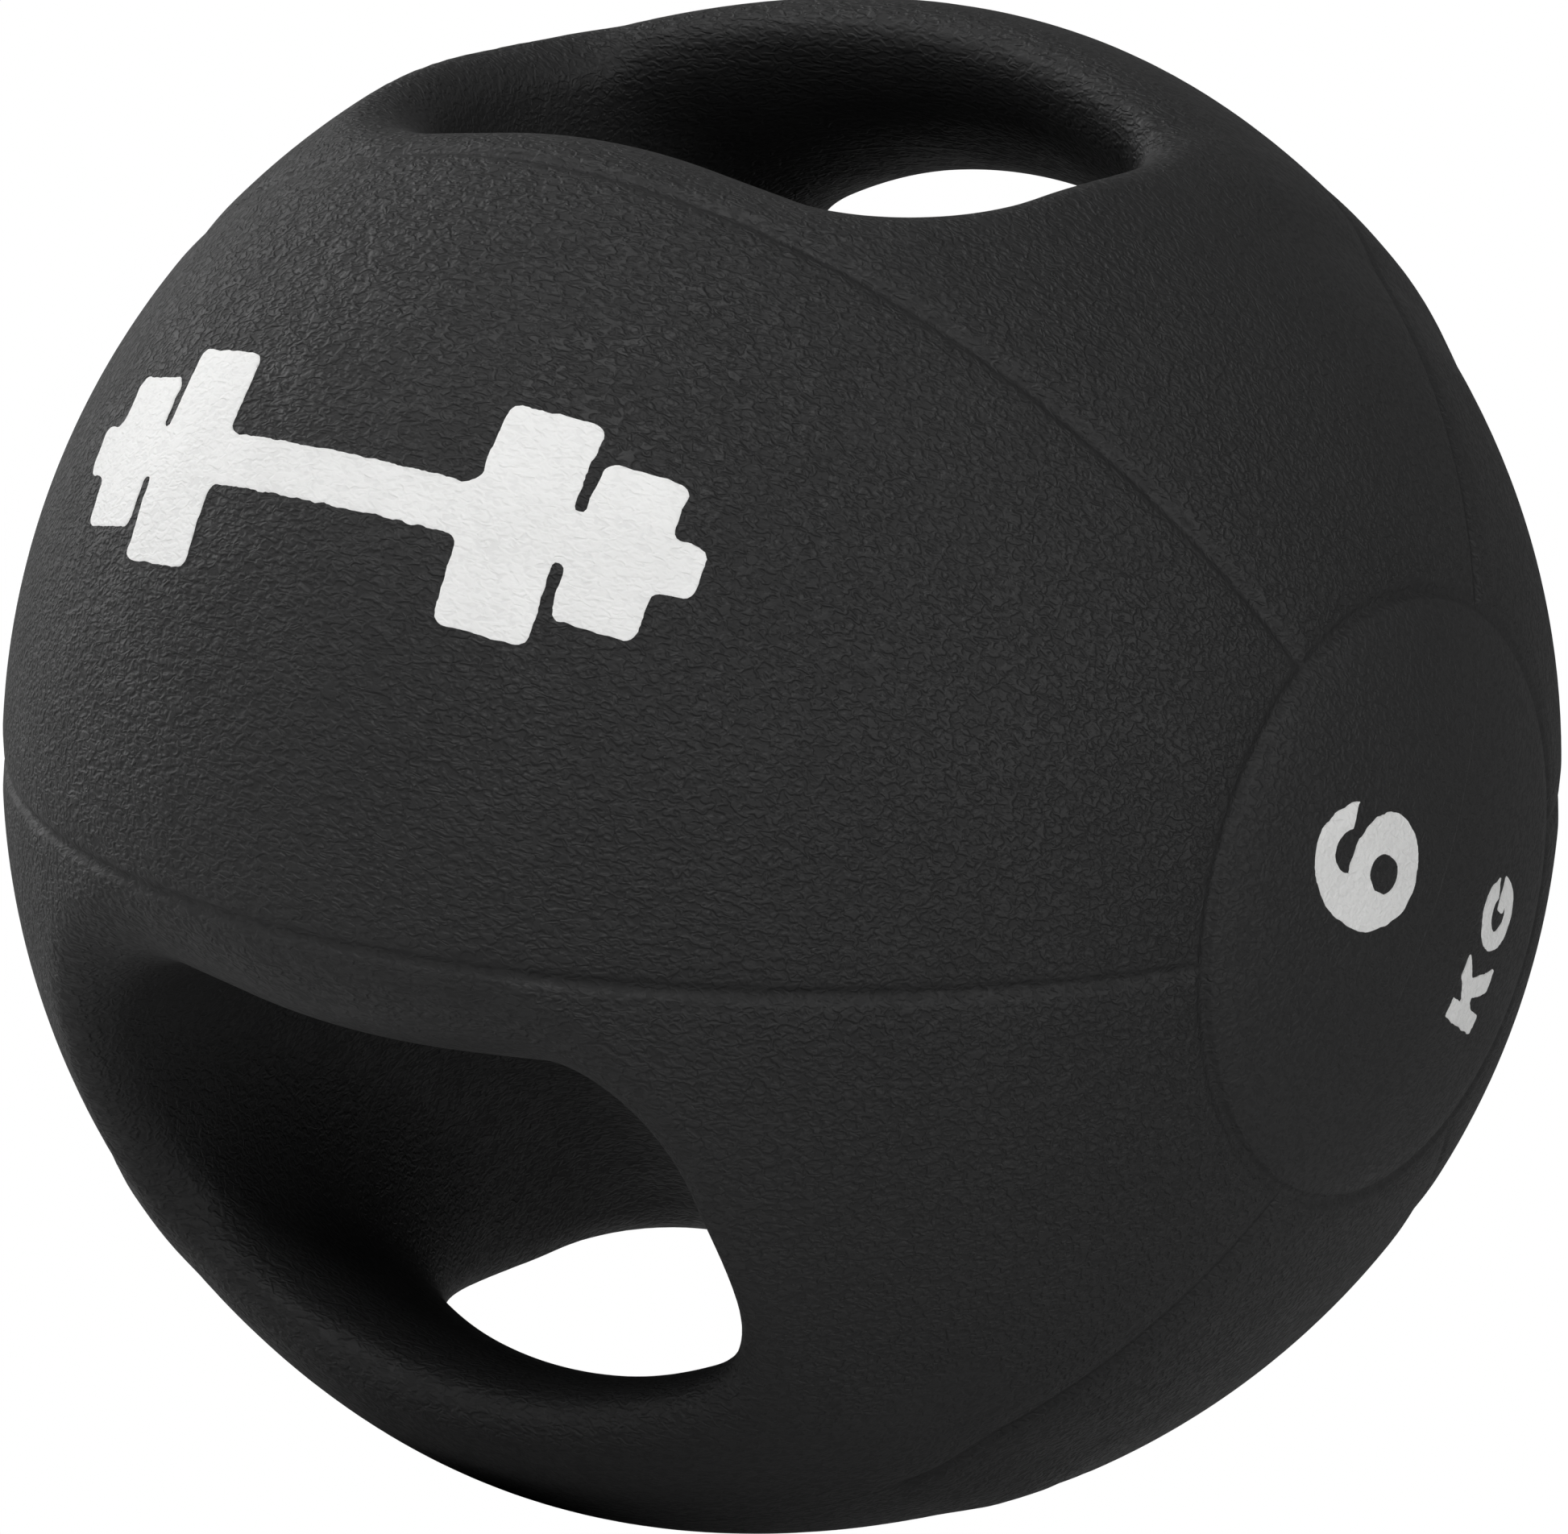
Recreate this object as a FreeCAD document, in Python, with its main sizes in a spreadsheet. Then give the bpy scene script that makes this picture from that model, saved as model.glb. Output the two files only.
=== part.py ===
import FreeCAD, Part
import math
import os

os.makedirs("parts", exist_ok=True)
doc = FreeCAD.newDocument("medicine_ball")

# Driving dimensions, in millimetres and degrees.
# The ball's centre is the origin. +Z runs through the top grip, +X through a badge, and -Y is the front.
SIZES = [
    ("ball_radius", 135.0),
    ("skin_thickness", 4.0),
    ("wall_thickness", 20.5),
    ("floor_height", 60.0),
    ("floor_bend", 200.0),
    ("floor_hollow", 260.0),
    ("opening_half_angle", 15.0),
    ("opening_corner", 20.0),
    ("lip_round", 17.0),
    ("grip_half_thick", 11.2),
    ("grip_half_width", 29.0),
    ("grip_drop", 0.4),
    ("grip_sweep", 96.0),
    ("groove_round", 1.4),
    ("groove_spread", 30.0),
    ("badge_angle", 22.5),
    ("crest_groove_end", 56.0),
    ("ink_thickness", 0.25),
    ("valve_stem_radius", 6.0),
    ("valve_flange_radius", 10.0),
    ("valve_flange_thick", 3.5),
    ("needle_radius", 1.0),
    ("mark_length", 132.0),
    ("mark_bar_height", 9.0),
    ("mark_shift", -6.0),
    ("mark_rise", 4.0),
    ("big_plate_width", 17.0),
    ("big_plate_height", 38.0),
    ("big_plate_place", 35.5),
    ("small_plate_width", 14.0),
    ("small_plate_height", 27.0),
    ("small_plate_place", 53.0),
    ("figure_bowl", 10.5),
    ("figure_hole", 4.5),
    ("figure_tail", 16.5),
    ("figure_rise", 7.7),
    ("letter_height", 13.0),
    ("letter_rise", -30.0),
    ("letter_gap", 1.6),
    ("letter_shift", -1.5),
]
sheet = doc.addObject("Spreadsheet::Sheet", "sizes")
for row, (alias, value) in enumerate(SIZES, start=1):
    sheet.set("A%d" % row, alias)
    sheet.set("B%d" % row, str(value))
    sheet.setAlias("B%d" % row, alias)
doc.recompute()

X = FreeCAD.Vector(1, 0, 0)
Y = FreeCAD.Vector(0, 1, 0)
Z = FreeCAD.Vector(0, 0, 1)
ORIGIN = FreeCAD.Vector(0, 0, 0)
SIDES = (("top", 1), ("bottom", -1))
HALVES = (("front", -1), ("rear", 1))
POLES = (("right", 1), ("left", -1))
NEAR = 0.05


def size(alias):
    """The value of one spreadsheet cell."""
    return float(sheet.get(alias))


def frame(x_axis, y_axis, origin=ORIGIN):
    """A placement whose local X and Y point along the given directions."""
    return FreeCAD.Placement(origin, FreeCAD.Rotation(x_axis, y_axis, x_axis.cross(y_axis), "ZXY"))


def turn(degrees):
    """A placement that turns about the local Z axis."""
    return FreeCAD.Placement(ORIGIN, FreeCAD.Rotation(Z, degrees))


def shift(x, y, z=0.0):
    return FreeCAD.Placement(FreeCAD.Vector(x, y, z), FreeCAD.Rotation())


def add(kind, name, expressions=None, placement=None, **properties):
    """Adds one document object and binds its sizes to the spreadsheet."""
    thing = doc.addObject(kind, name)
    for key, value in properties.items():
        setattr(thing, key, value)
    for key, formula in (expressions or {}).items():
        thing.setExpression(key, formula)
    if placement is not None:
        thing.Placement = placement
    return thing


def cut(name, base, tool):
    return add("Part::Cut", name, Base=base, Tool=tool)


def fuse(name, shapes):
    return add("Part::MultiFuse", name, Shapes=shapes)


def common(name, shapes):
    return add("Part::MultiCommon", name, Shapes=shapes)


def ball(name, radius):
    return add("Part::Sphere", name, {"Radius": radius})


def fillet(name, base, numbers, radius):
    """A Part fillet of one radius on the numbered edges."""
    return add("Part::Fillet", name, Base=base, Edges=[(number, radius, radius) for number in numbers])


def edge_points(edge):
    span = edge.LastParameter - edge.FirstParameter
    return [edge.valueAt(edge.FirstParameter + part * span) for part in (0.0, 0.25, 0.5, 0.75, 1.0)]


def opening_tool(name, side, inset, corner):
    """The space of one hand opening, with its faces set back by inset.

    It is a sector of a fat ring: the ring's inner side is the opening's floor, which is
    bent along the grip and hollow across it, and the sector's ends are the opening's ends."""
    ring = add("Part::Torus", name + "_ring", {
        "Radius1": "sizes.floor_bend + sizes.floor_hollow",
        "Radius2": "sizes.floor_hollow + %s" % inset,
        "Angle3": "2 deg * sizes.opening_half_angle + 2 * atan((%s) / (1.6 * sizes.ball_radius))" % inset,
    })
    doc.recompute()
    centre = FreeCAD.Vector(0, 0, side * (size("floor_height") - size("floor_bend")))
    ring.Placement = frame(Z * side, X, centre) * turn(-ring.Angle3.Value / 2)
    doc.recompute()
    ends = [number for number, edge in enumerate(ring.Shape.Edges, start=1)
            if abs(edge_points(edge)[2].x) > 1]
    return fillet(name, ring, ends, corner)


def notched_ball(name, inset, corner, lip):
    """A ball with both hand openings cut through it and, if lip is over zero, their rims rounded."""
    body = ball(name + "_ball", "sizes.ball_radius - (%s)" % inset)
    doc.recompute()
    radius = body.Radius.Value
    for side_name, side in SIDES:
        tool = opening_tool("%s_%s_tool" % (name, side_name), side, inset, corner)
        body = cut("%s_%s_opening" % (name, side_name), body, tool)
    doc.recompute()
    if lip <= 0:
        return body
    rims = []
    for number, edge in enumerate(body.Shape.Edges, start=1):
        points = edge_points(edge)
        on_ball = all(abs(point.Length - radius) < NEAR for point in points)
        if on_ball and any(abs(point.y) > 1 for point in points):
            rims.append(number)
    return fillet(name + "_rounded", body, rims, lip)


def grip(name, side, inset):
    """The bar that bridges one opening: an oval swept about the Y axis."""
    oval = add("Part::Ellipse", name + "_oval", {
        "MajorRadius": "sizes.grip_half_width - (%s)" % inset,
        "MinorRadius": "sizes.grip_half_thick - (%s)" % inset,
    })
    middle = size("ball_radius") - size("grip_drop") - size("grip_half_thick")
    oval.Placement = frame(Y, Z, FreeCAD.Vector(0, 0, side * middle))
    return add("Part::Revolution", name, {"Angle": "sizes.grip_sweep"},
               Source=oval, Axis=Y, Base=ORIGIN, Symmetric=True, Solid=True)


def half_space(name, side):
    """A box over everything on one side of the mould's parting plane, y = 0."""
    box = add("Part::Box", name, {
        "Length": "4 * sizes.ball_radius",
        "Width": "2 * sizes.ball_radius",
        "Height": "4 * sizes.ball_radius",
    })
    span = 2 * size("ball_radius")
    box.Placement = shift(-span, 0 if side > 0 else -span, -span)
    return box


def groove_arc(name, lift, start, sweep):
    """A round groove in a plane through the X axis, lift degrees above the front."""
    direction = FreeCAD.Vector(0, -math.cos(math.radians(lift)), math.sin(math.radians(lift)))
    return add("Part::Torus", name, {
        "Radius1": "sizes.ball_radius",
        "Radius2": "sizes.groove_round",
    }, frame(X, direction) * turn(start), Angle3=sweep)


def grooves():
    """The four long grooves, the four short ones in line with the grips, and the badge rings."""
    badge = size("badge_angle")
    spread = size("groove_spread")
    arcs = []
    for lift in (spread, -spread, 180 - spread, spread - 180):
        arcs.append(groove_arc("groove_long_%d" % len(arcs), lift, badge, 180 - 2 * badge))
    short = size("crest_groove_end") - badge
    for lift in (90, -90):
        arcs.append(groove_arc("groove_short_%d" % len(arcs), lift, badge, short))
        arcs.append(groove_arc("groove_short_%d" % len(arcs), lift, 180 - badge - short, short))
    for pole_name, pole in POLES:
        place = FreeCAD.Vector(pole * size("ball_radius") * math.cos(math.radians(badge)), 0, 0)
        arcs.append(add("Part::Torus", "badge_ring_" + pole_name, {
            "Radius1": "sizes.ball_radius * sin(sizes.badge_angle * 1 deg)",
            "Radius2": "sizes.groove_round",
        }, frame(Y, Z, place)))
    return fuse("grooves", arcs)


def prism(name, points):
    """A closed outline drawn in the local XY plane, pushed out along local Z past the ball."""
    outline = add("Part::Polygon", name + "_outline", Nodes=[FreeCAD.Vector(x, y, 0) for x, y in points],
                  Close=True)
    return add("Part::Extrusion", name, {"LengthFwd": "2 * sizes.ball_radius"},
               Base=outline, DirMode="Custom", Dir=Z, Solid=True)


def disc(name, radius, x=0.0, y=0.0, angle=360.0, start=0.0):
    """A round prism, or a sector of one, about (x, y) in the local XY plane."""
    return add("Part::Cylinder", name, {"Radius": radius, "Height": "2 * sizes.ball_radius"},
               shift(x, y) * turn(start), Angle=angle)


def block(name, width, height, x, y):
    """A rectangular prism centred on (x, y) in the local XY plane."""
    half_width = width / 2
    half_height = height / 2
    return prism(name, [(x - half_width, y - half_height), (x + half_width, y - half_height),
                        (x + half_width, y + half_height), (x - half_width, y + half_height)])


def front_mark(name):
    """A plain dumb-bell sign: a bar with two plates at each end."""
    pieces = [block(name + "_bar", size("mark_length"), size("mark_bar_height"), 0, 0)]
    for plate in ("big", "small"):
        for side in (-1, 1):
            pieces.append(block("%s_%s_%d" % (name, plate, side + 1), size(plate + "_plate_width"),
                                size(plate + "_plate_height"), side * size(plate + "_plate_place"), 0))
    return fuse(name, pieces)


def figure_six(name):
    """The weight figure: a round bowl and a quarter-ring tail, standing on local Y = 0."""
    bowl = size("figure_bowl")
    tail = size("figure_tail")
    ring = cut(name + "_bowl", disc(name + "_bowl_out", "sizes.figure_bowl", 0, bowl),
               disc(name + "_bowl_in", "sizes.figure_hole", 0, bowl))
    arm = cut(name + "_tail", disc(name + "_tail_out", "sizes.figure_tail", tail - bowl, bowl, 90, 90),
              disc(name + "_tail_in", "sizes.figure_tail - (sizes.figure_bowl - sizes.figure_hole)",
                   tail - bowl, bowl))
    return fuse(name, [ring, arm])


def letter_k(name):
    """A block K, its left foot at the local origin."""
    one = size("letter_height") / 12.5
    outline = [(0, 0), (3.6, 0), (3.6, 4.2), (5, 5.9), (7.4, 0), (11.6, 0), (7.8, 8.2), (11.4, 12.5),
               (7, 12.5), (3.6, 8.6), (3.6, 12.5), (0, 12.5)]
    return prism(name, [(one * (x - 11.6) - size("letter_gap") / 2, one * y) for x, y in outline])


def letter_g(name):
    """A block G: a ring open on the right with a bar across the middle."""
    one = size("letter_height") / 12.5
    middle = size("letter_height") / 2
    left = size("letter_gap") / 2
    ring = cut(name + "_ring", disc(name + "_out", "sizes.letter_height / 2", left + middle, middle),
               disc(name + "_in", "sizes.letter_height * 0.22", left + middle, middle))
    gap = block(name + "_gap", 8 * one, 2.2 * one, left + middle + 4 * one, middle + 2 * one)
    bar = block(name + "_bar", 5.6 * one, 2.6 * one, left + middle + 3.2 * one, middle - 0.4 * one)
    return fuse(name, [cut(name + "_open", ring, gap), bar])


def ink(name, prism_shape, shell, place):
    """A printed layer: the part of a thin shell on the ball's surface inside a prism."""
    prism_shape.Placement = place
    return common(name, [shell, prism_shape])


outer = notched_ball("outer", "0", size("opening_corner"), size("lip_round"))
skin = "sizes.skin_thickness"
inner = notched_ball("inner", skin, size("opening_corner") + size("skin_thickness"),
                     size("lip_round") - size("skin_thickness"))
deep = "sizes.skin_thickness + sizes.wall_thickness"
cavity = notched_ball("cavity", deep, size("opening_corner") + size("skin_thickness"), 0)

grips = [grip("grip_outside_" + side_name, side, "0") for side_name, side in SIDES]
cores = [grip("grip_core_" + side_name, side, skin) for side_name, side in SIDES]
outside = fuse("outside", [outer] + grips)
cover = cut("cover_smooth", outside, fuse("under_cover", [inner] + cores))
cover = cut("cover", cover, grooves())
wall = cut("wall_solid", inner, fuse("wall_spaces", [cavity] + cores))

stem_place = frame(X, -Z)
stem = add("Part::Cylinder", "stem_hole", {
    "Radius": "sizes.valve_stem_radius",
    "Height": "2 * sizes.ball_radius",
}, stem_place)
flange_place = stem_place * shift(0, 0, size("ball_radius") - size("skin_thickness")
                                  - size("wall_thickness") - size("valve_flange_thick"))
valve_stem = common("valve_stem", [
    add("Part::Cylinder", "stem_bar", {
        "Radius": "sizes.valve_stem_radius",
        "Height": "2 * sizes.ball_radius",
    }, flange_place),
    ball("stem_end", "sizes.ball_radius"),
])
valve_flange = common("valve_flange", [
    add("Part::Cylinder", "flange_disc", {
        "Radius": "sizes.valve_flange_radius",
        "Height": "2 * sizes.valve_flange_thick",
    }, flange_place),
    ball("flange_seat", "sizes.ball_radius - sizes.skin_thickness - sizes.wall_thickness"),
])
needle = add("Part::Cylinder", "needle_channel", {
    "Radius": "sizes.needle_radius",
    "Height": "2 * sizes.ball_radius",
}, stem_place)

parts = {}
for half_name, side in HALVES:
    for layer_name, layer in (("cover", cover), ("wall", wall)):
        node = "%s_%s_half" % (layer_name, half_name)
        piece = common(node + "_plain", [layer, half_space(node + "_space", side)])
        parts[node] = cut(node, piece, stem) if side > 0 else piece
for (side_name, side), core in zip(SIDES, cores):
    parts["grip_core_" + side_name] = core
parts["valve_insert"] = cut("valve_insert", fuse("valve_body", [valve_stem, valve_flange]), needle)

shell = cut("ink_shell", ball("ink_outside", "sizes.ball_radius + sizes.ink_thickness"),
            ball("ink_inside", "sizes.ball_radius"))
front_place = frame(X, Z) * shift(size("mark_shift"), size("mark_rise"))
parts["front_mark_print"] = ink("front_mark_print", front_mark("front_mark"), shell, front_place)
for pole_name, pole in POLES:
    badge_place = frame(Z, Y * -pole)
    for glyph_name, glyph, across, rise in (
            ("weight_figure", figure_six, 0, size("figure_rise")),
            ("unit_letter_k", letter_k, size("letter_shift"), size("letter_rise")),
            ("unit_letter_g", letter_g, size("letter_shift"), size("letter_rise"))):
        node = "%s_%s" % (glyph_name, pole_name)
        parts[node] = ink(node, glyph(node + "_glyph"), shell, badge_place * shift(across, rise))

doc.recompute()
for thing in doc.Objects:
    if "Invalid" in thing.State or "Error" in thing.State:
        raise RuntimeError("%s: %s" % (thing.Name, thing.State))
for node, thing in parts.items():
    thing.Label = node
    if thing.Shape.isNull() or not thing.Shape.isValid():
        raise RuntimeError("bad shape: " + node)
for node, thing in parts.items():
    thing.Shape.exportStep("parts/%s.step" % node)
    box = thing.Shape.BoundBox
    print("%-24s solids %d volume %8.1f cm3  x %.1f..%.1f  y %.1f..%.1f  z %.1f..%.1f" % (
        node, len(thing.Shape.Solids), thing.Shape.Volume / 1000.0,
        box.XMin, box.XMax, box.YMin, box.YMax, box.ZMin, box.ZMax))
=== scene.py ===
import math

import bpy
import numpy as np
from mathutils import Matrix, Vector
from mathutils.geometry import tessellate_polygon


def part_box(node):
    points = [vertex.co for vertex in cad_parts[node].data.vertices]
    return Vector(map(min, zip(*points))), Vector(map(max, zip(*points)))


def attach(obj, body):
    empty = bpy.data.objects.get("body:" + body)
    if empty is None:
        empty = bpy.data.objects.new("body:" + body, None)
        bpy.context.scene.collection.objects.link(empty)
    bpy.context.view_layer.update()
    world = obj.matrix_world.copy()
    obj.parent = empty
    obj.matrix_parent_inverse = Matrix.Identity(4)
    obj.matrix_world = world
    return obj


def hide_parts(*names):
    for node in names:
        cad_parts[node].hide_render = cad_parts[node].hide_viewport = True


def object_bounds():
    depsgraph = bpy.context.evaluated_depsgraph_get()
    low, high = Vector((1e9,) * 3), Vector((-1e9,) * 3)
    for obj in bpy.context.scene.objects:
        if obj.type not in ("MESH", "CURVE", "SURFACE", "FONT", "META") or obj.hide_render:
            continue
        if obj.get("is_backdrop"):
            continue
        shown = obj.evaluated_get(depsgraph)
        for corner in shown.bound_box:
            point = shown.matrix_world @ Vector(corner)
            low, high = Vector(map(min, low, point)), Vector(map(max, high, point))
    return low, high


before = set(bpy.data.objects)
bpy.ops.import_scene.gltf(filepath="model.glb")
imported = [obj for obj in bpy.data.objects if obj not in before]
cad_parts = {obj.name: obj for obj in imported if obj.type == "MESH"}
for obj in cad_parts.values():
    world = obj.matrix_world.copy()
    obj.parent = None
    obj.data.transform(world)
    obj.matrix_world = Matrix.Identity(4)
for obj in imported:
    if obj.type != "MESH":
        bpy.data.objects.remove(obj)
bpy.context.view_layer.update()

MM = 0.001

# The ball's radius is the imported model's, in metres, and the other sizes follow from it.
# +X is the right badge, -Y the front, +Z the top grip. Angles are in radians.
cover_low, cover_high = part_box("cover_front_half")
BALL = (cover_high.x - cover_low.x) / 2

# The hand openings: floor_height above the centre, bent along the grip and hollow across it.
FLOOR_HEIGHT = 0.443 * BALL
FLOOR_BEND = 1.6 * BALL
FLOOR_HOLLOW = 1.75 * BALL
END_ANGLE = 0.251
CORNER = 0.165 * BALL
FRONT_LIP = 0.18 * BALL
END_LIP = 0.065 * BALL
LIP_CHANGE_START = 0.15 * BALL
LIP_CHANGE_LENGTH = 0.42 * BALL
GRIP_THICK = 0.083 * BALL
GRIP_WIDE = 0.217 * BALL
GRIP_FLARE = 0.30 / BALL
GRIP_PROUD = 0.008 * BALL
GRIP_BLEND = 0.15 * BALL
GRIP_SEAM = 0.02 * BALL
GRIP_END = 0.56 * BALL
GRIP_SINK = 0.20 * BALL

# The moulded grooves.
GROOVE_SPREAD = math.radians(30)
BADGE_ANGLE = 0.393
CREST_GROOVE_END = math.radians(58)
GROOVE_HALF = 1.7 * MM
GROOVE_DEPTH = 0.75 * MM
SHOULDER_HALF = 6.0 * MM
SHOULDER_DEPTH = 0.35 * MM
GROOVE_FADE_START = 6 * MM
GROOVE_FADE_LENGTH = 3 * MM

# The dish around the valve's outer end.
VALVE_SEAT_IN = 6.2 * MM
VALVE_SEAT_OUT = 7.9 * MM
VALVE_SEAT_DEPTH = 1.5 * MM

# Edge lengths of the ball's mesh.
NET_CELL = 5 * MM
SPHERE_EDGE = 4.2 * MM
LIP_EDGE = 2.3 * MM
GROOVE_EDGE = 0.75 * MM
SHOULDER_EDGE = 2.0 * MM
ANY_EDGE = 9 * MM

# Ink, in millimetres.
INK_LIFT = 0.20
INK_EDGE_LIFT = -0.06
INK_BEVEL = 0.16
INK_EDGE = 1.6
OUTLINE_STEP = 0.6
CORNER_POINTS = 7


# ---- The ball's surface as a signed distance ----

def round_cut(first, second, radius):
    """The overlap of two solids, its outer edge rounded."""
    return (np.minimum(np.maximum(first, second), -radius)
            + np.hypot(np.maximum(first + radius, 0), np.maximum(second + radius, 0)))


def round_join(first, second, radius):
    """The union of two solids, its inner edge filled round."""
    return (np.maximum(np.minimum(first, second), radius)
            - np.hypot(np.maximum(radius - first, 0), np.maximum(radius - second, 0)))


def smooth_step(value):
    """0 up to 0 and 1 from 1 on, with a smooth rise between."""
    value = np.clip(value, 0, 1)
    return value * value * (3 - 2 * value)


def groove_distance(point):
    """Distance over the surface to the nearest groove, for points near the ball's surface."""
    x, y, z = point[:, 0], point[:, 1], point[:, 2]
    radius = np.sqrt(x * x + y * y + z * z) + 1e-9
    from_pole = np.arccos(np.clip(np.abs(x) / radius, -1, 1))
    ring = np.abs(from_pole - BADGE_ANGLE) * radius
    beyond = np.maximum(BADGE_ANGLE - from_pole, 0) * radius
    slanted = np.abs(np.abs(y) * math.sin(GROOVE_SPREAD) - np.abs(z) * math.cos(GROOVE_SPREAD))
    long_arc = np.hypot(slanted, beyond)
    past_end = np.maximum(from_pole - CREST_GROOVE_END, 0) * radius
    crest_arc = np.hypot(np.hypot(y, beyond), past_end)
    return np.minimum(ring, np.minimum(long_arc, crest_arc))


def plain_distance(point):
    """Signed distance to the ball with its openings and grips, without the grooves."""
    x, y, z = np.abs(point[:, 0]), np.abs(point[:, 1]), np.abs(point[:, 2])
    sphere = np.sqrt(x * x + y * y + z * z) - BALL
    below = FLOOR_BEND - FLOOR_HEIGHT
    from_axis = np.hypot(x, z + below)
    floor = FLOOR_HOLLOW - np.hypot(from_axis - FLOOR_BEND - FLOOR_HOLLOW, y)
    end = (z + below) * math.sin(END_ANGLE) - x * math.cos(END_ANGLE)
    notch = round_join(end, floor, CORNER)
    lip = FRONT_LIP + (END_LIP - FRONT_LIP) * smooth_step((x - LIP_CHANGE_START) / LIP_CHANGE_LENGTH)
    past_grip = np.maximum(x - GRIP_END, 0)
    from_centre = np.hypot(x, z) - (BALL + GRIP_PROUD - GRIP_THICK) + past_grip * past_grip / GRIP_SINK
    wide = GRIP_WIDE + GRIP_FLARE * np.minimum(x, GRIP_END) ** 2
    oval = np.hypot(from_centre / GRIP_THICK, y / wide)
    steep = np.hypot(from_centre / GRIP_THICK ** 2, y / wide ** 2) + 1e-9
    grip = oval * (oval - 1) / steep
    body = round_cut(sphere, round_join(notch, grip, GRIP_BLEND), lip)
    return round_join(body, grip, GRIP_SEAM)


def surface_distance(point):
    """Signed distance to the finished outside of the ball."""
    away = groove_distance(point)
    groove = GROOVE_DEPTH * np.clip(1 - (away / GROOVE_HALF) ** 2, 0, 1) ** 2
    shoulder = SHOULDER_DEPTH * np.clip(1 - (away / SHOULDER_HALF) ** 2, 0, 1) ** 2
    outside = smooth_step((np.linalg.norm(point, axis=1) - BALL + GROOVE_FADE_START) / GROOVE_FADE_LENGTH)
    return plain_distance(point) + (groove + shoulder) * outside + valve_seat(point)


def valve_seat(point):
    """Depth of the dish around the valve's outer end, at the rear pole."""
    radius = np.hypot(point[:, 0], point[:, 2])
    slope = smooth_step((VALVE_SEAT_OUT - radius) / (VALVE_SEAT_OUT - VALVE_SEAT_IN))
    return VALVE_SEAT_DEPTH * slope * (point[:, 1] > 0)


def gradient(function, point, step=2e-5):
    """The function's gradient by central differences."""
    out = np.empty_like(point)
    for axis in range(3):
        nudge = np.zeros(3)
        nudge[axis] = step
        out[:, axis] = function(point + nudge) - function(point - nudge)
    return out / (2 * step)


def onto_surface(function, point, rounds=3):
    """Newton steps along the gradient onto the zero surface."""
    for _ in range(rounds):
        slope = gradient(function, point)
        length = np.maximum((slope * slope).sum(1), 0.05)
        move = (function(point) / length)[:, None] * slope
        reach = np.linalg.norm(move, axis=1, keepdims=True)
        point = point - move * np.minimum(1, 3 * MM / np.maximum(reach, 1e-9))
    return point


# ---- From the distance to a mesh ----

def surface_net(function, half_size, cell):
    """A closed quad mesh near the function's zero surface, split into triangles."""
    count = int(2 * half_size / cell) + 2
    axis = (np.arange(count) - (count - 1) / 2) * cell
    grid = np.stack(np.meshgrid(axis, axis, axis, indexing="ij"), -1).reshape(-1, 3)
    value = function(grid).reshape(count, count, count)
    inside = value < 0
    total = np.zeros((count - 1, count - 1, count - 1, 3))
    hits = np.zeros((count - 1, count - 1, count - 1))
    corners = [(i, j, k) for i in (0, 1) for j in (0, 1) for k in (0, 1)]

    def part(array, corner):
        i, j, k = corner
        return array[i:count - 1 + i, j:count - 1 + j, k:count - 1 + k]

    for first in corners:
        for way in range(3):
            if first[way]:
                continue
            second = tuple(c + (n == way) for n, c in enumerate(first))
            one, two = part(value, first), part(value, second)
            crossing = part(inside, first) != part(inside, second)
            share = np.where(crossing, one / np.where(crossing, one - two, 1), 0)
            place = np.array(first, float) + share[..., None] * (np.arange(3) == way)
            total += np.where(crossing[..., None], place, 0)
            hits += crossing
    used = hits > 0
    number = np.full(used.shape, -1)
    number[used] = np.arange(used.sum())
    base = np.argwhere(used).astype(float)
    point = (base + total[used] / hits[used][:, None]) * cell + axis[0]
    faces = []
    for way in range(3):
        u, v = (way + 1) % 3, (way + 2) % 3
        low = [slice(1, count - 1)] * 3
        low[way] = slice(0, count - 1)
        high = list(low)
        high[way] = slice(1, count)
        start, stop = inside[tuple(low)], inside[tuple(high)]
        where = np.argwhere(start != stop)
        flip = start[tuple(where.T)]
        offset = np.ones(3, int)
        offset[way] = 0
        where = where + offset
        around = []
        for du, dv in ((-1, -1), (0, -1), (0, 0), (-1, 0)):
            cell_at = where.copy()
            cell_at[:, u] += du
            cell_at[:, v] += dv
            around.append(number[tuple(cell_at.T)])
        quad = np.stack(around, 1)
        quad[~flip] = quad[~flip][:, ::-1]
        faces += [quad[:, [0, 1, 2]], quad[:, [0, 2, 3]]]
    return point, np.concatenate(faces)


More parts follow.
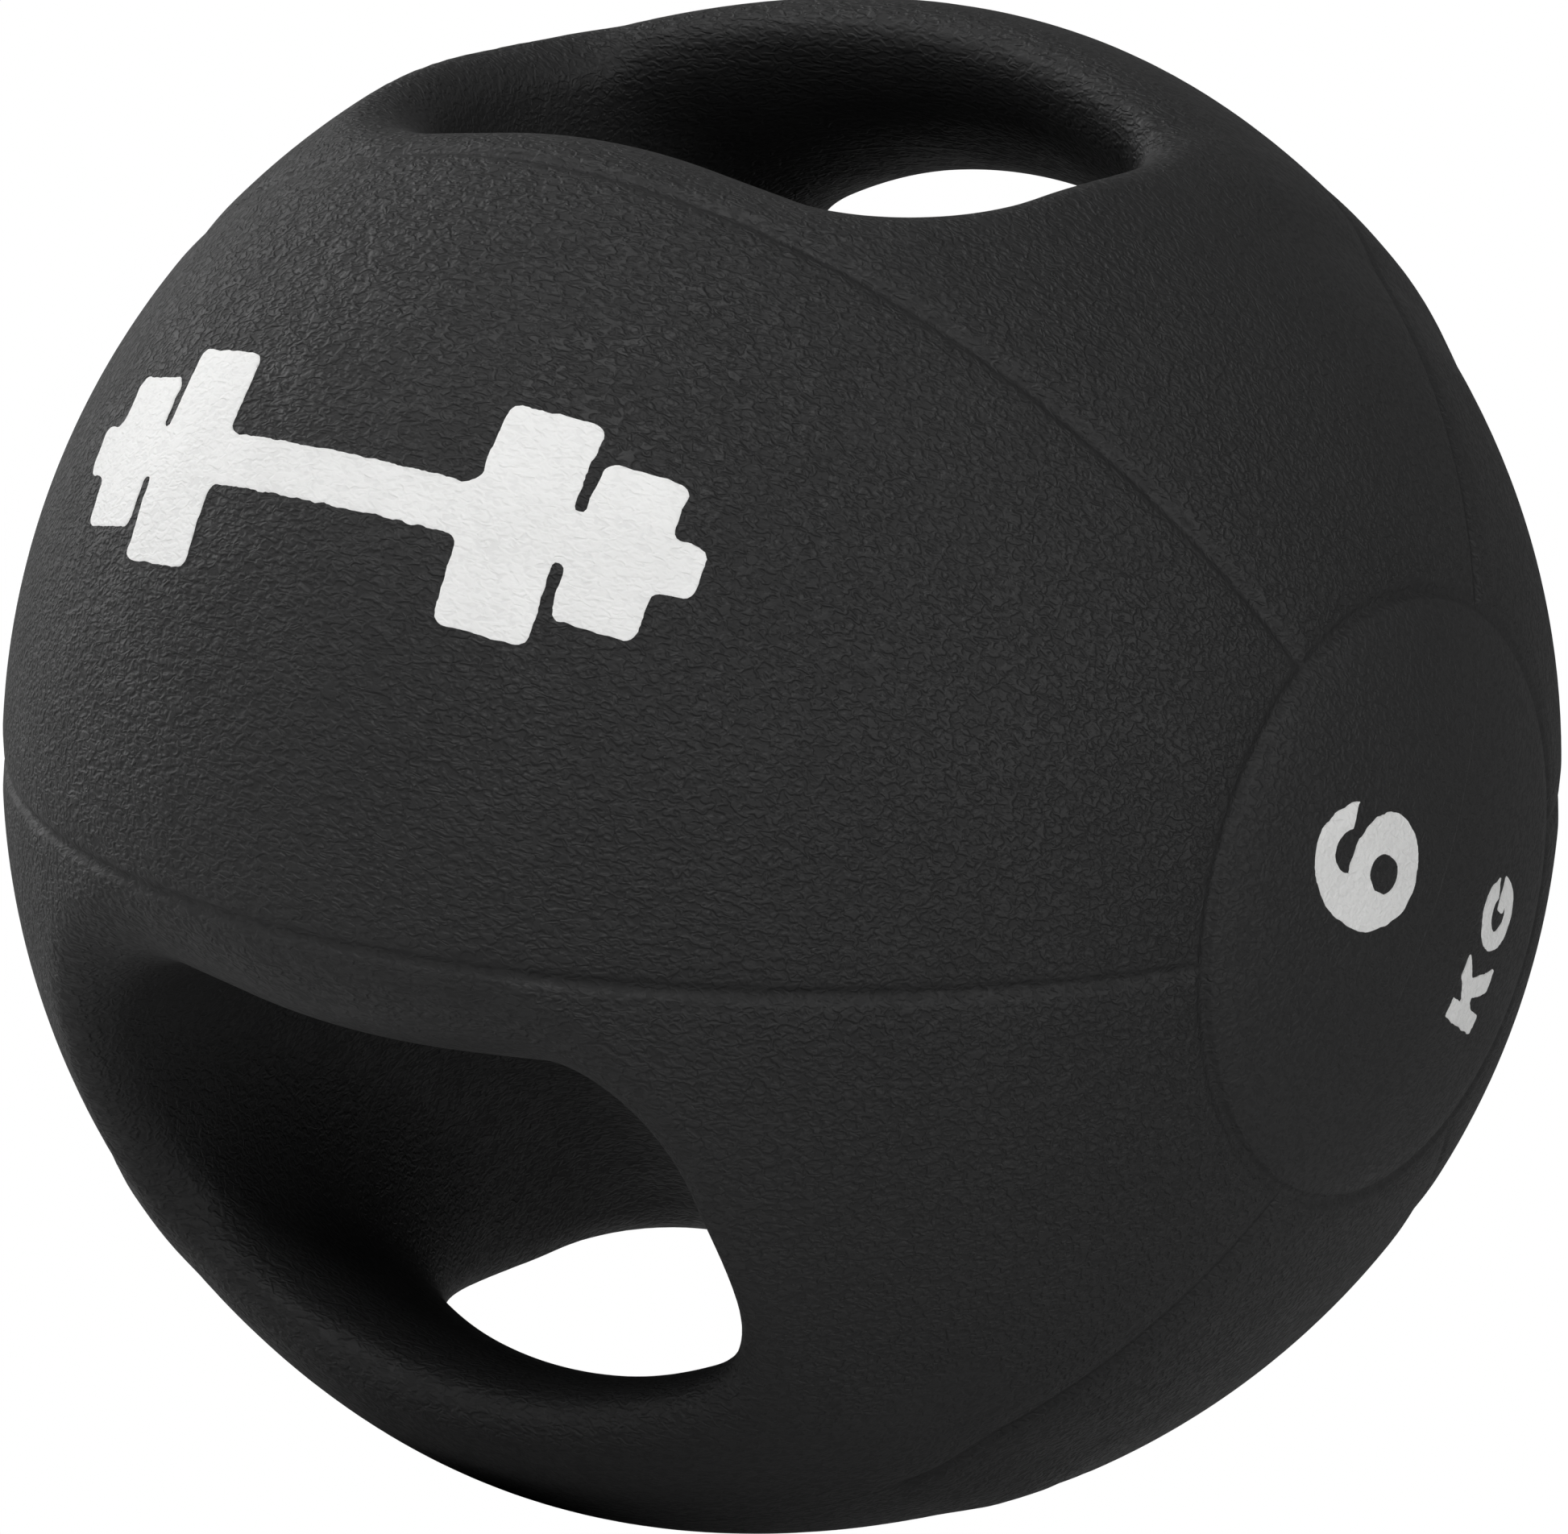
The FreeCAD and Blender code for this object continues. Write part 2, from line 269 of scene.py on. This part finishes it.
def split_long_edges(point, face, limit):
    """One pass that halves every edge longer than limit(midpoints) and divides the faces to suit."""
    edge = np.sort(face[:, [[0, 1], [1, 2], [2, 0]]].reshape(-1, 2), 1)
    unique, index = np.unique(edge, axis=0, return_inverse=True)
    index = index.reshape(-1, 3)
    middle = point[unique].mean(1)
    length = np.linalg.norm(point[unique[:, 0]] - point[unique[:, 1]], axis=1)
    marked = length > limit(middle)
    if not marked.any():
        return point, face, 0
    new = np.full(len(unique), -1)
    new[marked] = len(point) + np.arange(marked.sum())
    point = np.concatenate([point, middle[marked]])
    mid = new[index]
    pieces = []
    pattern = (mid >= 0) @ np.array([1, 2, 4])
    for code in range(8):
        at = pattern == code
        if not at.any():
            continue
        if code in (0, 7):
            turn = 0
        else:
            turn = {1: 0, 2: 1, 4: 2, 3: 0, 6: 1, 5: 2}[code]
        order = [(turn + n) % 3 for n in range(3)]
        a, b, c = face[at][:, order].T
        ab, bc, ca = mid[at][:, order].T
        if code == 0:
            made = [(a, b, c)]
        elif code == 7:
            made = [(a, ab, ca), (ab, b, bc), (ca, bc, c), (ab, bc, ca)]
        elif code in (1, 2, 4):
            made = [(a, ab, c), (ab, b, c)]
        else:
            made = [(ab, b, bc), (a, ab, bc), (a, bc, c)]
        pieces += [np.stack(triangle, 1) for triangle in made]
    return point, np.concatenate(pieces), int(marked.sum())


def relaxed(point, face, function, rounds):
    """Evens out the triangles by moving each point towards its neighbours, along the surface."""
    edge = np.unique(np.sort(face[:, [[0, 1], [1, 2], [2, 0]]].reshape(-1, 2), 1), axis=0)
    both = np.concatenate([edge, edge[:, ::-1]])
    degree = np.bincount(both[:, 0], minlength=len(point))[:, None]
    for _ in range(rounds):
        total = np.stack([np.bincount(both[:, 0], point[both[:, 1], axis], len(point))
                          for axis in range(3)], 1)
        point = point + 0.5 * (total / degree - point)
        point = onto_surface(function, point, 1)
    return point


def ball_edge_limit(middle):
    """How long an edge may be: short at grooves, medium on the lips and grips, longer elsewhere."""
    seat = np.abs(np.hypot(middle[:, 0], middle[:, 2]) - (VALVE_SEAT_IN + VALVE_SEAT_OUT) / 2)
    away = np.minimum(groove_distance(middle), np.where(middle[:, 1] > 0, seat, 1.0))
    on_sphere = np.abs(np.linalg.norm(middle, axis=1) - BALL) < 1.2 * MM
    limit = np.where(on_sphere, SPHERE_EDGE, LIP_EDGE)
    near = np.where(away < 2.6 * MM, GROOVE_EDGE, np.where(away < 7 * MM, SHOULDER_EDGE, ANY_EDGE))
    return np.minimum(limit, np.where(on_sphere, near, ANY_EDGE))


def ball_mesh():
    """The whole outside of the ball, refined first and grooved last."""
    point, face = surface_net(plain_distance, 1.04 * BALL, NET_CELL)
    point = onto_surface(plain_distance, point)
    point = relaxed(point, face, plain_distance, 4)
    for _ in range(7):
        point, face, count = split_long_edges(point, face, ball_edge_limit)
        if not count:
            break
        point = relaxed(point, face, plain_distance, 2)
    return onto_surface(surface_distance, point, 4), face


# ---- Materials ----

class Nodes:
    """Short names for building a node tree."""

    def __init__(self, name):
        self.material = bpy.data.materials.new(name)
        self.material.use_nodes = True
        self.tree = self.material.node_tree
        self.shader = self.tree.nodes["Principled BSDF"]

    def node(self, kind, inputs=(), **settings):
        made = self.tree.nodes.new(kind)
        for key, value in settings.items():
            setattr(made, key, value)
        for key, value in dict(inputs).items():
            self.feed(made.inputs[key], value)
        return made

    def feed(self, socket, value):
        if isinstance(value, bpy.types.NodeSocket):
            self.tree.links.new(value, socket)
        else:
            socket.default_value = value

    def math(self, operation, *values):
        made = self.node("ShaderNodeMath", operation=operation)
        for socket, value in zip(made.inputs, values):
            self.feed(socket, value)
        return made.outputs[0]

    def ramp(self, value, low, high, start=0.0, stop=1.0):
        made = self.node("ShaderNodeMapRange", {"Value": value, "From Min": low, "From Max": high,
                                                "To Min": start, "To Max": stop},
                         interpolation_type="SMOOTHSTEP")
        return made.outputs["Result"]

    def noise(self, place, scale, detail=2.0, roughness=0.5):
        return self.node("ShaderNodeTexNoise", {"Vector": place, "Scale": scale, "Detail": detail,
                                                "Roughness": roughness}).outputs["Fac"]

    def mix(self, share, first, second):
        made = self.node("ShaderNodeMix", {"Factor": share}, data_type="RGBA")
        self.feed(made.inputs["A"], first)
        self.feed(made.inputs["B"], second)
        return made.outputs["Result"]

    def done(self, color, rough, height=None, depth=0.0001, **constants):
        self.feed(self.shader.inputs["Base Color"], color)
        self.feed(self.shader.inputs["Roughness"], rough)
        if height is not None:
            bump = self.node("ShaderNodeBump", {"Height": height, "Distance": depth, "Strength": 1.0})
            self.feed(self.shader.inputs["Normal"], bump.outputs["Normal"])
        for key, value in constants.items():
            self.shader.inputs[key.replace("_", " ")].default_value = value
        return self.material


def grain_height(n, place):
    """Leather grain: smooth bent wrinkles, longer along the ball's X axis. Also gives the wrinkles alone."""
    stretched = n.node("ShaderNodeVectorMath", {0: place, 1: (0.62, 1.0, 1.15)}, operation="MULTIPLY")
    wave = n.node("ShaderNodeTexNoise", {"Vector": stretched.outputs[0], "Scale": 840.0, "Detail": 1.0,
                                         "Roughness": 0.35, "Distortion": 0.9}).outputs["Fac"]
    wrinkle = n.ramp(wave, 0.30, 0.70)
    fine = n.noise(place, 1500.0, 2.0, 0.5)
    broad = n.noise(place, 170.0, 2.0)
    total = n.math("ADD", wrinkle, n.math("MULTIPLY", fine, 0.16))
    return n.math("ADD", total, n.math("MULTIPLY", broad, 0.5)), wrinkle


def object_place(n):
    """The place on the object, in metres."""
    return n.node("ShaderNodeTexCoord").outputs["Object"]


def rubber_material():
    """The black cover: pebbled on the panels, smoother on the badges, grips and openings, with painted shade
    in the grain's creases.
    """
    n = Nodes("cover_rubber")
    place = object_place(n)
    grain, wrinkle = grain_height(n, place)
    smooth = n.node("ShaderNodeAttribute", attribute_name="smoothness").outputs["Fac"]
    amount = n.ramp(smooth, 0.0, 1.0, 1.0, 0.35)
    height = n.math("MULTIPLY", grain, amount)
    seam = n.math("ABSOLUTE", n.node("ShaderNodeSeparateXYZ", {"Vector": place}).outputs["Y"])
    flash = n.ramp(seam, 0.00012, 0.00045, 0.5, 0.0)
    height = n.math("ADD", height, flash)
    cloud = n.noise(place, 14.0, 4.0, 0.6)
    dust = n.noise(place, 75.0, 6.0, 0.7)
    tone = n.math("ADD", n.math("MULTIPLY", cloud, 0.6), n.math("MULTIPLY", dust, 0.4))
    color = n.mix(n.ramp(tone, 0.3, 0.7), (0.0120, 0.0121, 0.0124, 1), (0.0175, 0.0176, 0.0178, 1))
    # Painted shade: where the grain's wrinkle height is low, in its creases, the rubber colour is mixed
    # towards a darker black.
    color = n.mix(n.ramp(wrinkle, 0.0, 0.5, 0.35, 0.0), color, (0.0085, 0.0085, 0.0087, 1))
    rough = n.math("ADD", n.ramp(dust, 0.25, 0.75, 0.50, 0.62), n.ramp(wrinkle, 0.0, 0.6, 0.10, 0.0))
    return n.done(color, rough, height, 0.00042, Specular_IOR_Level=0.38)


def ink_material():
    """White print over the grain, with painted shade greying it in the creases."""
    n = Nodes("white_ink")
    place = object_place(n)
    grain, wrinkle = grain_height(n, place)
    patch = n.noise(place, 60.0, 4.0, 0.6)
    color = n.mix(n.ramp(patch, 0.3, 0.7), (0.86, 0.86, 0.85, 1), (0.92, 0.92, 0.91, 1))
    # Painted shade: where the grain's wrinkle height is low, in its creases, the white is mixed towards grey.
    color = n.mix(n.ramp(wrinkle, 0.0, 0.25, 0.14, 0.0), color, (0.55, 0.55, 0.55, 1))
    rough = n.ramp(patch, 0.3, 0.7, 0.42, 0.55)
    return n.done(color, rough, grain, 0.00010, Specular_IOR_Level=0.4)


def plain_rubber(name, dark, light, per_metre):
    """Unseen rubber parts: a moulded skin with flow marks."""
    n = Nodes(name)
    place = object_place(n)
    speck = n.noise(place, per_metre, 5.0, 0.65)
    flow = n.noise(place, per_metre / 12, 3.0)
    color = n.mix(n.ramp(flow, 0.3, 0.7), dark + (1,), light + (1,))
    return n.done(color, n.ramp(speck, 0.3, 0.7, 0.6, 0.8), speck, 0.0001)


# ---- Pieces ----

def new_object(name, data):
    """A new object in the scene."""
    made = bpy.data.objects.new(name, data)
    bpy.context.scene.collection.objects.link(made)
    return made


def mesh_object(name, point, face, material, normals, attributes=None):
    """A smooth mesh from points and triangles, with its normals and one value a point per attribute."""
    mesh = bpy.data.meshes.new(name)
    mesh.vertices.add(len(point))
    mesh.vertices.foreach_set("co", point.astype(np.float32).ravel())
    mesh.loops.add(3 * len(face))
    mesh.loops.foreach_set("vertex_index", face.astype(np.int32).ravel())
    mesh.polygons.add(len(face))
    mesh.polygons.foreach_set("loop_start", np.arange(0, 3 * len(face), 3, dtype=np.int32))
    mesh.update(calc_edges=True)
    mesh.validate()
    mesh.shade_smooth()
    for key, values in (attributes or {}).items():
        mesh.attributes.new(key, "FLOAT", "POINT").data.foreach_set("value", values.astype(np.float32))
    mesh.normals_split_custom_set_from_vertices(normals)
    mesh.materials.append(material)
    return new_object(name, mesh)


def half_of(point, face, side):
    """The triangles on one side of the parting plane, those across it cut exactly on the plane."""
    value = point[:, 1] * side
    keep = value[face] >= 0
    count = keep.sum(1)
    whole = face[count == 3]
    pieces, extra = [whole], [point]
    total = len(point)
    for inside_count in (1, 2):
        at = face[count == inside_count]
        held = keep[count == inside_count]
        odd = (held if inside_count == 1 else ~held).argmax(1)
        rows = np.arange(len(at))
        a, b, c = (at[rows, (odd + n) % 3] for n in range(3))

        def cross(first, second):
            share = (value[first] / (value[first] - value[second]))[:, None]
            place = point[first] + share * (point[second] - point[first])
            place[:, 1] = 0
            return place

        ab = total + rows
        ac = ab + len(at)
        extra += [cross(a, b), cross(a, c)]
        total += 2 * len(at)
        if inside_count == 1:
            pieces.append(np.stack([a, ab, ac], 1))
        else:
            pieces += [np.stack([ab, b, c], 1), np.stack([ab, c, ac], 1)]
    point, face = np.concatenate(extra), np.concatenate(pieces)
    key = np.round(point / (0.002 * MM)).astype(np.int64)
    _, first, index = np.unique(key, axis=0, return_index=True, return_inverse=True)
    point, face = point[first], index.reshape(-1)[face]
    face = face[(face[:, 0] != face[:, 1]) & (face[:, 1] != face[:, 2]) & (face[:, 2] != face[:, 0])]
    used = np.unique(face)
    renumber = np.full(len(point), -1)
    renumber[used] = np.arange(len(used))
    return point[used], renumber[face]


def smoothness(point):
    """1 where the rubber is smooth (badges, grips, inside the openings), 0 on the pebbled panels."""
    radius = np.linalg.norm(point, axis=1)
    from_pole = np.arccos(np.clip(np.abs(point[:, 0]) / radius, -1, 1))
    badge = smooth_step((BADGE_ANGLE - from_pole) / 0.01)
    inner = smooth_step((BALL - 2.5 * MM - radius) / (5 * MM))
    grip = smooth_step((GRIP_WIDE - np.abs(point[:, 1])) / (6 * MM)) * (np.abs(point[:, 2]) > 0.7 * BALL)
    groove = smooth_step((3.0 * MM - groove_distance(point)) / (2.0 * MM)) * (radius > BALL - 2 * MM)
    return np.maximum(np.maximum(badge * 0.75, inner * 0.9), np.maximum(grip * 0.8, groove * 0.9))


# ---- Prints ----

def arc(cx, cy, radius, start, stop):
    """Points along an arc, in millimetres and degrees."""
    count = max(3, int(abs(stop - start) / 57.3 * radius / OUTLINE_STEP) + 1)
    turn = np.radians(np.linspace(start, stop, count))
    return np.stack([cx + radius * np.cos(turn), cy + radius * np.sin(turn)], 1)


def rounded(corners, most):
    """A closed outline with each corner rounded, by a radius of most or what the sides leave room for."""
    corners = np.array(corners, float)
    out = []
    for n, here in enumerate(corners):
        before = corners[n - 1] - here
        after = corners[(n + 1) % len(corners)] - here
        long_before, long_after = np.linalg.norm(before), np.linalg.norm(after)
        before, after = before / long_before, after / long_after
        half = math.acos(max(-1.0, min(1.0, float(before @ after)))) / 2
        radius = min(most, 0.45 * min(long_before, long_after) * math.tan(half))
        reach = radius / math.tan(half)
        centre = here + (before + after) / np.linalg.norm(before + after) * radius / math.sin(half)
        start, stop = here + before * reach - centre, here + after * reach - centre
        for share in np.linspace(0, 1, CORNER_POINTS):
            way = start * (1 - share) + stop * share
            out.append(centre + way / np.linalg.norm(way) * radius)
    return np.array(out)


def evenly(outline):
    """The same closed outline with points about one step apart."""
    closed = np.concatenate([outline, outline[:1]])
    length = np.concatenate([[0], np.cumsum(np.linalg.norm(np.diff(closed, axis=0), axis=1))])
    places = np.linspace(0, length[-1], max(12, int(length[-1] / OUTLINE_STEP)), endpoint=False)
    return np.stack([np.interp(places, length, closed[:, 0]), np.interp(places, length, closed[:, 1])], 1)


def ragged(outline, random, size=0.10, evenness=1.7):
    """Ink edge: the outline pushed in and out a little, as the grain under it does. Also gives its normal."""
    after = np.roll(outline, -1, 0) - np.roll(outline, 1, 0)
    normal = np.stack([after[:, 1], -after[:, 0]], 1) / np.linalg.norm(after, axis=1, keepdims=True)
    rough = random.normal(size=len(outline))
    rough = (rough + np.roll(rough, 1) + np.roll(rough, -1)) / evenness
    return outline + normal * rough[:, None] * size, normal


def area_of(outline):
    """Positive where the outline runs anticlockwise."""
    x, y = outline.T
    return 0.5 * float((x * np.roll(y, -1) - y * np.roll(x, -1)).sum())


def print_mesh(name, outlines, right, up, middle, seed, material):
    """A thin layer of ink on the ball. The first outline is the outer edge, the others are holes."""
    random = np.random.default_rng(seed)
    loops = []
    for number, outline in enumerate(outlines):
        outline = evenly(np.array(outline))
        if (area_of(outline) > 0) != (number == 0):
            outline = outline[::-1]
        outline, normal = ragged(outline, random)
        loops.append((outline, outline - normal * INK_BEVEL))
    caps = [[Vector((x, y, 0)) for x, y in inset] for _, inset in loops]
    flat = np.concatenate([inset for _, inset in loops])
    face = np.array(tessellate_polygon(caps))
    corner = flat[face]
    span_one, span_two = corner[:, 1] - corner[:, 0], corner[:, 2] - corner[:, 0]
    wrong = span_one[:, 0] * span_two[:, 1] - span_one[:, 1] * span_two[:, 0] < 0
    face[wrong] = face[wrong][:, ::-1]
    point = np.concatenate([flat, np.zeros((len(flat), 1))], 1)
    for _ in range(6):
        point, face, count = split_long_edges(point, face, lambda places: np.full(len(places), INK_EDGE))
        if not count:
            break
    lift = np.full(len(point), INK_LIFT)
    rim = np.concatenate([edge for edge, _ in loops])
    start = 0
    sides = []
    for edge, _ in loops:
        here = start + np.arange(len(edge))
        there = start + (np.arange(len(edge)) + 1) % len(edge)
        sides += [np.stack([here + len(point), there + len(point), there], 1),
                  np.stack([here + len(point), there, here], 1)]
        start += len(edge)
    flat_all = np.concatenate([point[:, :2], rim]) * MM
    lift = np.concatenate([lift, np.full(len(rim), INK_EDGE_LIFT)]) * MM
    face = np.concatenate([face] + sides)
    out = np.cross(right, up)
    flat_all = flat_all + np.array(middle) * MM
    depth = np.sqrt(BALL ** 2 - (flat_all ** 2).sum(1))
    place = flat_all[:, :1] * right + flat_all[:, 1:] * up + depth[:, None] * out
    normal = place / np.linalg.norm(place, axis=1, keepdims=True)
    made = mesh_object(name, place + normal * lift[:, None], face, material, normal)
    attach(made, "root")
    return made


def dumbbell_outline():
    """A plain dumb-bell: a bar with a big and a small plate at each end."""
    quarter = [(27, 4.5), (27, 19), (44, 19), (44, 4.5), (46, 4.5),
               (46, 13.5), (60, 13.5), (60, 4.5), (66, 4.5)]
    half = quarter + [(x, -y) for x, y in reversed(quarter)]
    return [rounded(half + [(-x, -y) for x, y in half], 2.0)[::-1]]


def oval(cx, cy, rx, ry, start, stop):
    """Points along part of an ellipse, in millimetres and degrees."""
    turn = np.radians(np.linspace(start, stop, max(8, int(abs(stop - start) / 4))))
    return np.stack([cx + rx * np.cos(turn), cy + ry * np.sin(turn)], 1)


def six_outlines():
    """A heavy figure six: tall outer curve, round bowl, and a hook cut flat at its end."""
    outer = oval(0.7, 13.0, 10.4, 13.0, 30, 270)
    bowl = oval(0.7, 8.8, 10.4, 8.8, 274, 466)
    hook = oval(1.5, 18.3, 3.6, 3.3, 205, 16)
    return [np.concatenate([outer, bowl, hook]), oval(0.9, 8.8, 3.1, 3.7, 0, 350)]


def k_outline(one, gap):
    """A plain capital K, left of the middle by half the gap."""
    corners = [(0, 0), (3.6, 0), (3.6, 4.2), (5, 5.9), (7.4, 0), (11.6, 0), (7.8, 8.2), (11.4, 12.5),
               (7, 12.5), (3.6, 8.6), (3.6, 12.5), (0, 12.5)]
    return [rounded([(one * (x - 11.6) - gap / 2, one * y) for x, y in corners], 0.35)]


def g_outline(one, gap):
    """A ring open on the upper right, with a bar into its middle."""
    radius = 6.25 * one
    inner = 2.75 * one
    cx, cy = gap / 2 + radius, radius
    outer = arc(cx, cy, radius, 29, 360)
    inside = arc(cx, cy, inner, 318, 41)
    bar_top = cy + 0.9 * one
    corners = [(cx + radius, bar_top), (cx + 0.4 * one, bar_top), (cx + 0.4 * one, cy - 1.7 * one)]
    return [np.concatenate([outer, corners, inside])]


rubber = rubber_material()
ink = ink_material()

point, face = ball_mesh()
for half, side in (("front", -1), ("rear", 1)):
    part_point, part_face = half_of(point, face, side)
    slope = gradient(surface_distance, part_point)
    slope /= np.linalg.norm(slope, axis=1, keepdims=True)
    cover = mesh_object("cover_" + half, part_point, part_face, rubber, slope,
                        {"smoothness": smoothness(part_point)})
    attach(cover, "root")
    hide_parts("cover_%s_half" % half)

# The front sign, and a weight marking on each badge: places in millimetres.
LETTER = 13.0 / 12.5
LETTER_GAP = 1.6
LETTER_SHIFT = -1.5
LETTER_RISE = -30.0
FIGURE_RISE = 8.2
X_AXIS, Y_AXIS, Z_AXIS = np.eye(3)
mark = print_mesh("front_mark", dumbbell_outline(), X_AXIS, Z_AXIS, (-6.0, 4.0), 11, ink)
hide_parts("front_mark_print")
for side_name, pole in (("right", 1), ("left", -1)):
    for name, node, outlines, across, rise, seed in (
            ("figure", "weight_figure", six_outlines(), 0.0, FIGURE_RISE, 12),
            ("unit_k", "unit_letter_k", k_outline(LETTER, LETTER_GAP), LETTER_SHIFT, LETTER_RISE, 13),
            ("unit_g", "unit_letter_g", g_outline(LETTER, LETTER_GAP), LETTER_SHIFT, LETTER_RISE, 14)):
        made = print_mesh("%s_%s" % (name, side_name), outlines, Z_AXIS, Y_AXIS * -pole,
                          (across, rise), seed, ink)
        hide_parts("%s_%s" % (node, side_name))

# The CAD nodes that stay.
looks = {
    "wall": plain_rubber("wall_rubber", (0.022, 0.022, 0.022), (0.034, 0.033, 0.032), 900.0),
    "grip": plain_rubber("core_rubber", (0.04, 0.04, 0.04), (0.055, 0.054, 0.052), 700.0),
    "valve": plain_rubber("valve_rubber", (0.03, 0.03, 0.031), (0.045, 0.045, 0.046), 1500.0),
}
for name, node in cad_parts.items():
    kind = name.split("_")[0]
    if kind in looks:
        node.data.materials.clear()
        node.data.materials.append(looks[kind])


# ---- Camera, lights, floor ----

def aimed(obj, position, up):
    """Puts an object at a place, looking along its own -Z at the ball's centre."""
    away = position.normalized()
    side = up.cross(away).normalized()
    matrix = obj.matrix_world.copy()
    for row in range(3):
        for column, axis in enumerate((side, away.cross(side), away, position)):
            matrix[row][column] = axis[row]
    obj.matrix_world = matrix


CAMERA_AZIMUTH = math.radians(35.5)
CAMERA_ELEVATION = math.radians(-8.05)
CAMERA_ROLL = math.radians(18.97)
CAMERA_DISTANCE = 10.8 * BALL
SENSOR = 36.0
LENS = 192.49
SHIFT_RIGHT = 0.0014
SHIFT_UP = -0.0073
CLIP_START = 0.05

back = Vector((math.sin(CAMERA_AZIMUTH) * math.cos(CAMERA_ELEVATION),
               -math.cos(CAMERA_AZIMUTH) * math.cos(CAMERA_ELEVATION), math.sin(CAMERA_ELEVATION)))
level = Vector((0, 0, 1)).cross(back).normalized()
upright = back.cross(level)
picture_up = upright * math.cos(CAMERA_ROLL) - level * math.sin(CAMERA_ROLL)
picture_right = level * math.cos(CAMERA_ROLL) + upright * math.sin(CAMERA_ROLL)

camera_data = bpy.data.cameras.new("camera")
camera = new_object("camera", camera_data)
aimed(camera, back * CAMERA_DISTANCE, picture_up)
camera_data.sensor_width = SENSOR
camera_data.lens = LENS
camera_data.shift_x = SHIFT_RIGHT
camera_data.shift_y = SHIFT_UP
camera_data.clip_start = CLIP_START
bpy.context.scene.camera = camera


def area_light(name, place, size, power):
    """A soft light given by its place in the picture's own directions: right, up, towards the camera."""
    data = bpy.data.lights.new(name, "AREA")
    data.shape = "RECTANGLE"
    data.size = size[0]
    data.size_y = size[1]
    data.energy = power
    light = new_object(name, data)
    position = picture_right * place[0] + picture_up * place[1] + back * place[2]
    aimed(light, position, picture_up + back * 0.01)


SKY_STRENGTH = 0.20
FLOOR_HALF = 6.0
FLOOR_GAP = 0.1 * MM
GLOW_NEAR = 0.35
GLOW_FAR = 1.2
GLOW_FADE_START = 0.4
GLOW_FADE_END = 1.1

area_light("key", (-0.62, 1.32, 0.8), (1.0, 1.0), 13.0)
area_light("rim", (-1.2, 0.9, -0.9), (0.8, 1.2), 8.5)
area_light("fill", (1.1, 0.0, 1.5), (2.2, 2.2), 21.0)
area_light("low", (0.5, -1.2, 1.4), (1.6, 1.2), 36.0)

# The world is white to the camera and dimmer to everything else.
world = bpy.data.worlds.new("world")
bpy.context.scene.world = world
world.use_nodes = True
world_tree = world.node_tree
sky = world_tree.nodes["Background"]
sky.inputs["Color"].default_value = (1, 1, 1, 1)
sky.inputs["Strength"].default_value = SKY_STRENGTH
white = world_tree.nodes.new("ShaderNodeBackground")
white.inputs["Color"].default_value = (1, 1, 1, 1)
white.inputs["Strength"].default_value = 1.0
ray = world_tree.nodes.new("ShaderNodeLightPath")
choose = world_tree.nodes.new("ShaderNodeMixShader")
world_tree.links.new(ray.outputs["Is Camera Ray"], choose.inputs[0])
world_tree.links.new(sky.outputs[0], choose.inputs[1])
world_tree.links.new(white.outputs[0], choose.inputs[2])
world_tree.links.new(choose.outputs[0], world_tree.nodes["World Output"].inputs["Surface"])
bpy.context.scene.view_settings.view_transform = "Standard"


def floor():
    """A pale floor, white far out. It shows from above only, because the photograph's camera is below it."""
    n = Nodes("floor")
    place = object_place(n)
    speck = n.noise(place, 40.0, 4.0)
    color = n.mix(speck, (0.80, 0.80, 0.80, 1), (0.84, 0.84, 0.84, 1))
    material = n.done(color, 0.7)
    reach = n.node("ShaderNodeVectorMath", {0: place}, operation="LENGTH").outputs["Value"]
    fade = n.node("ShaderNodeMapRange", {"Value": reach, "From Min": GLOW_FADE_START,
                                         "From Max": GLOW_FADE_END, "To Min": GLOW_NEAR, "To Max": GLOW_FAR})
    glow = n.node("ShaderNodeEmission", {"Color": (1, 1, 1, 1), "Strength": fade.outputs[0]})
    seen = n.node("ShaderNodeLightPath").outputs["Is Camera Ray"]
    dark = n.node("ShaderNodeEmission", {"Color": (0, 0, 0, 1), "Strength": 0.0})
    lift = n.node("ShaderNodeMixShader", {0: seen, 1: dark.outputs[0], 2: glow.outputs[0]})
    pale = n.node("ShaderNodeAddShader", {0: n.shader.outputs[0], 1: lift.outputs[0]})
    clear = n.node("ShaderNodeBsdfTransparent")
    side = n.node("ShaderNodeNewGeometry").outputs["Backfacing"]
    both = n.node("ShaderNodeMixShader", {0: side, 1: pale.outputs[0], 2: clear.outputs[0]})
    n.tree.links.new(both.outputs[0], n.tree.nodes["Material Output"].inputs["Surface"])
    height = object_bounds()[0][2] - FLOOR_GAP
    corners = [(FLOOR_HALF * x, FLOOR_HALF * y, height) for x, y in ((-1, -1), (1, -1), (1, 1), (-1, 1))]
    mesh = bpy.data.meshes.new("floor")
    mesh.from_pydata(corners, [], [(0, 1, 2, 3)])
    mesh.materials.append(material)
    new_object("floor", mesh)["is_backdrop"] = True


bpy.context.view_layer.update()
floor()

bpy.context.view_layer.update()
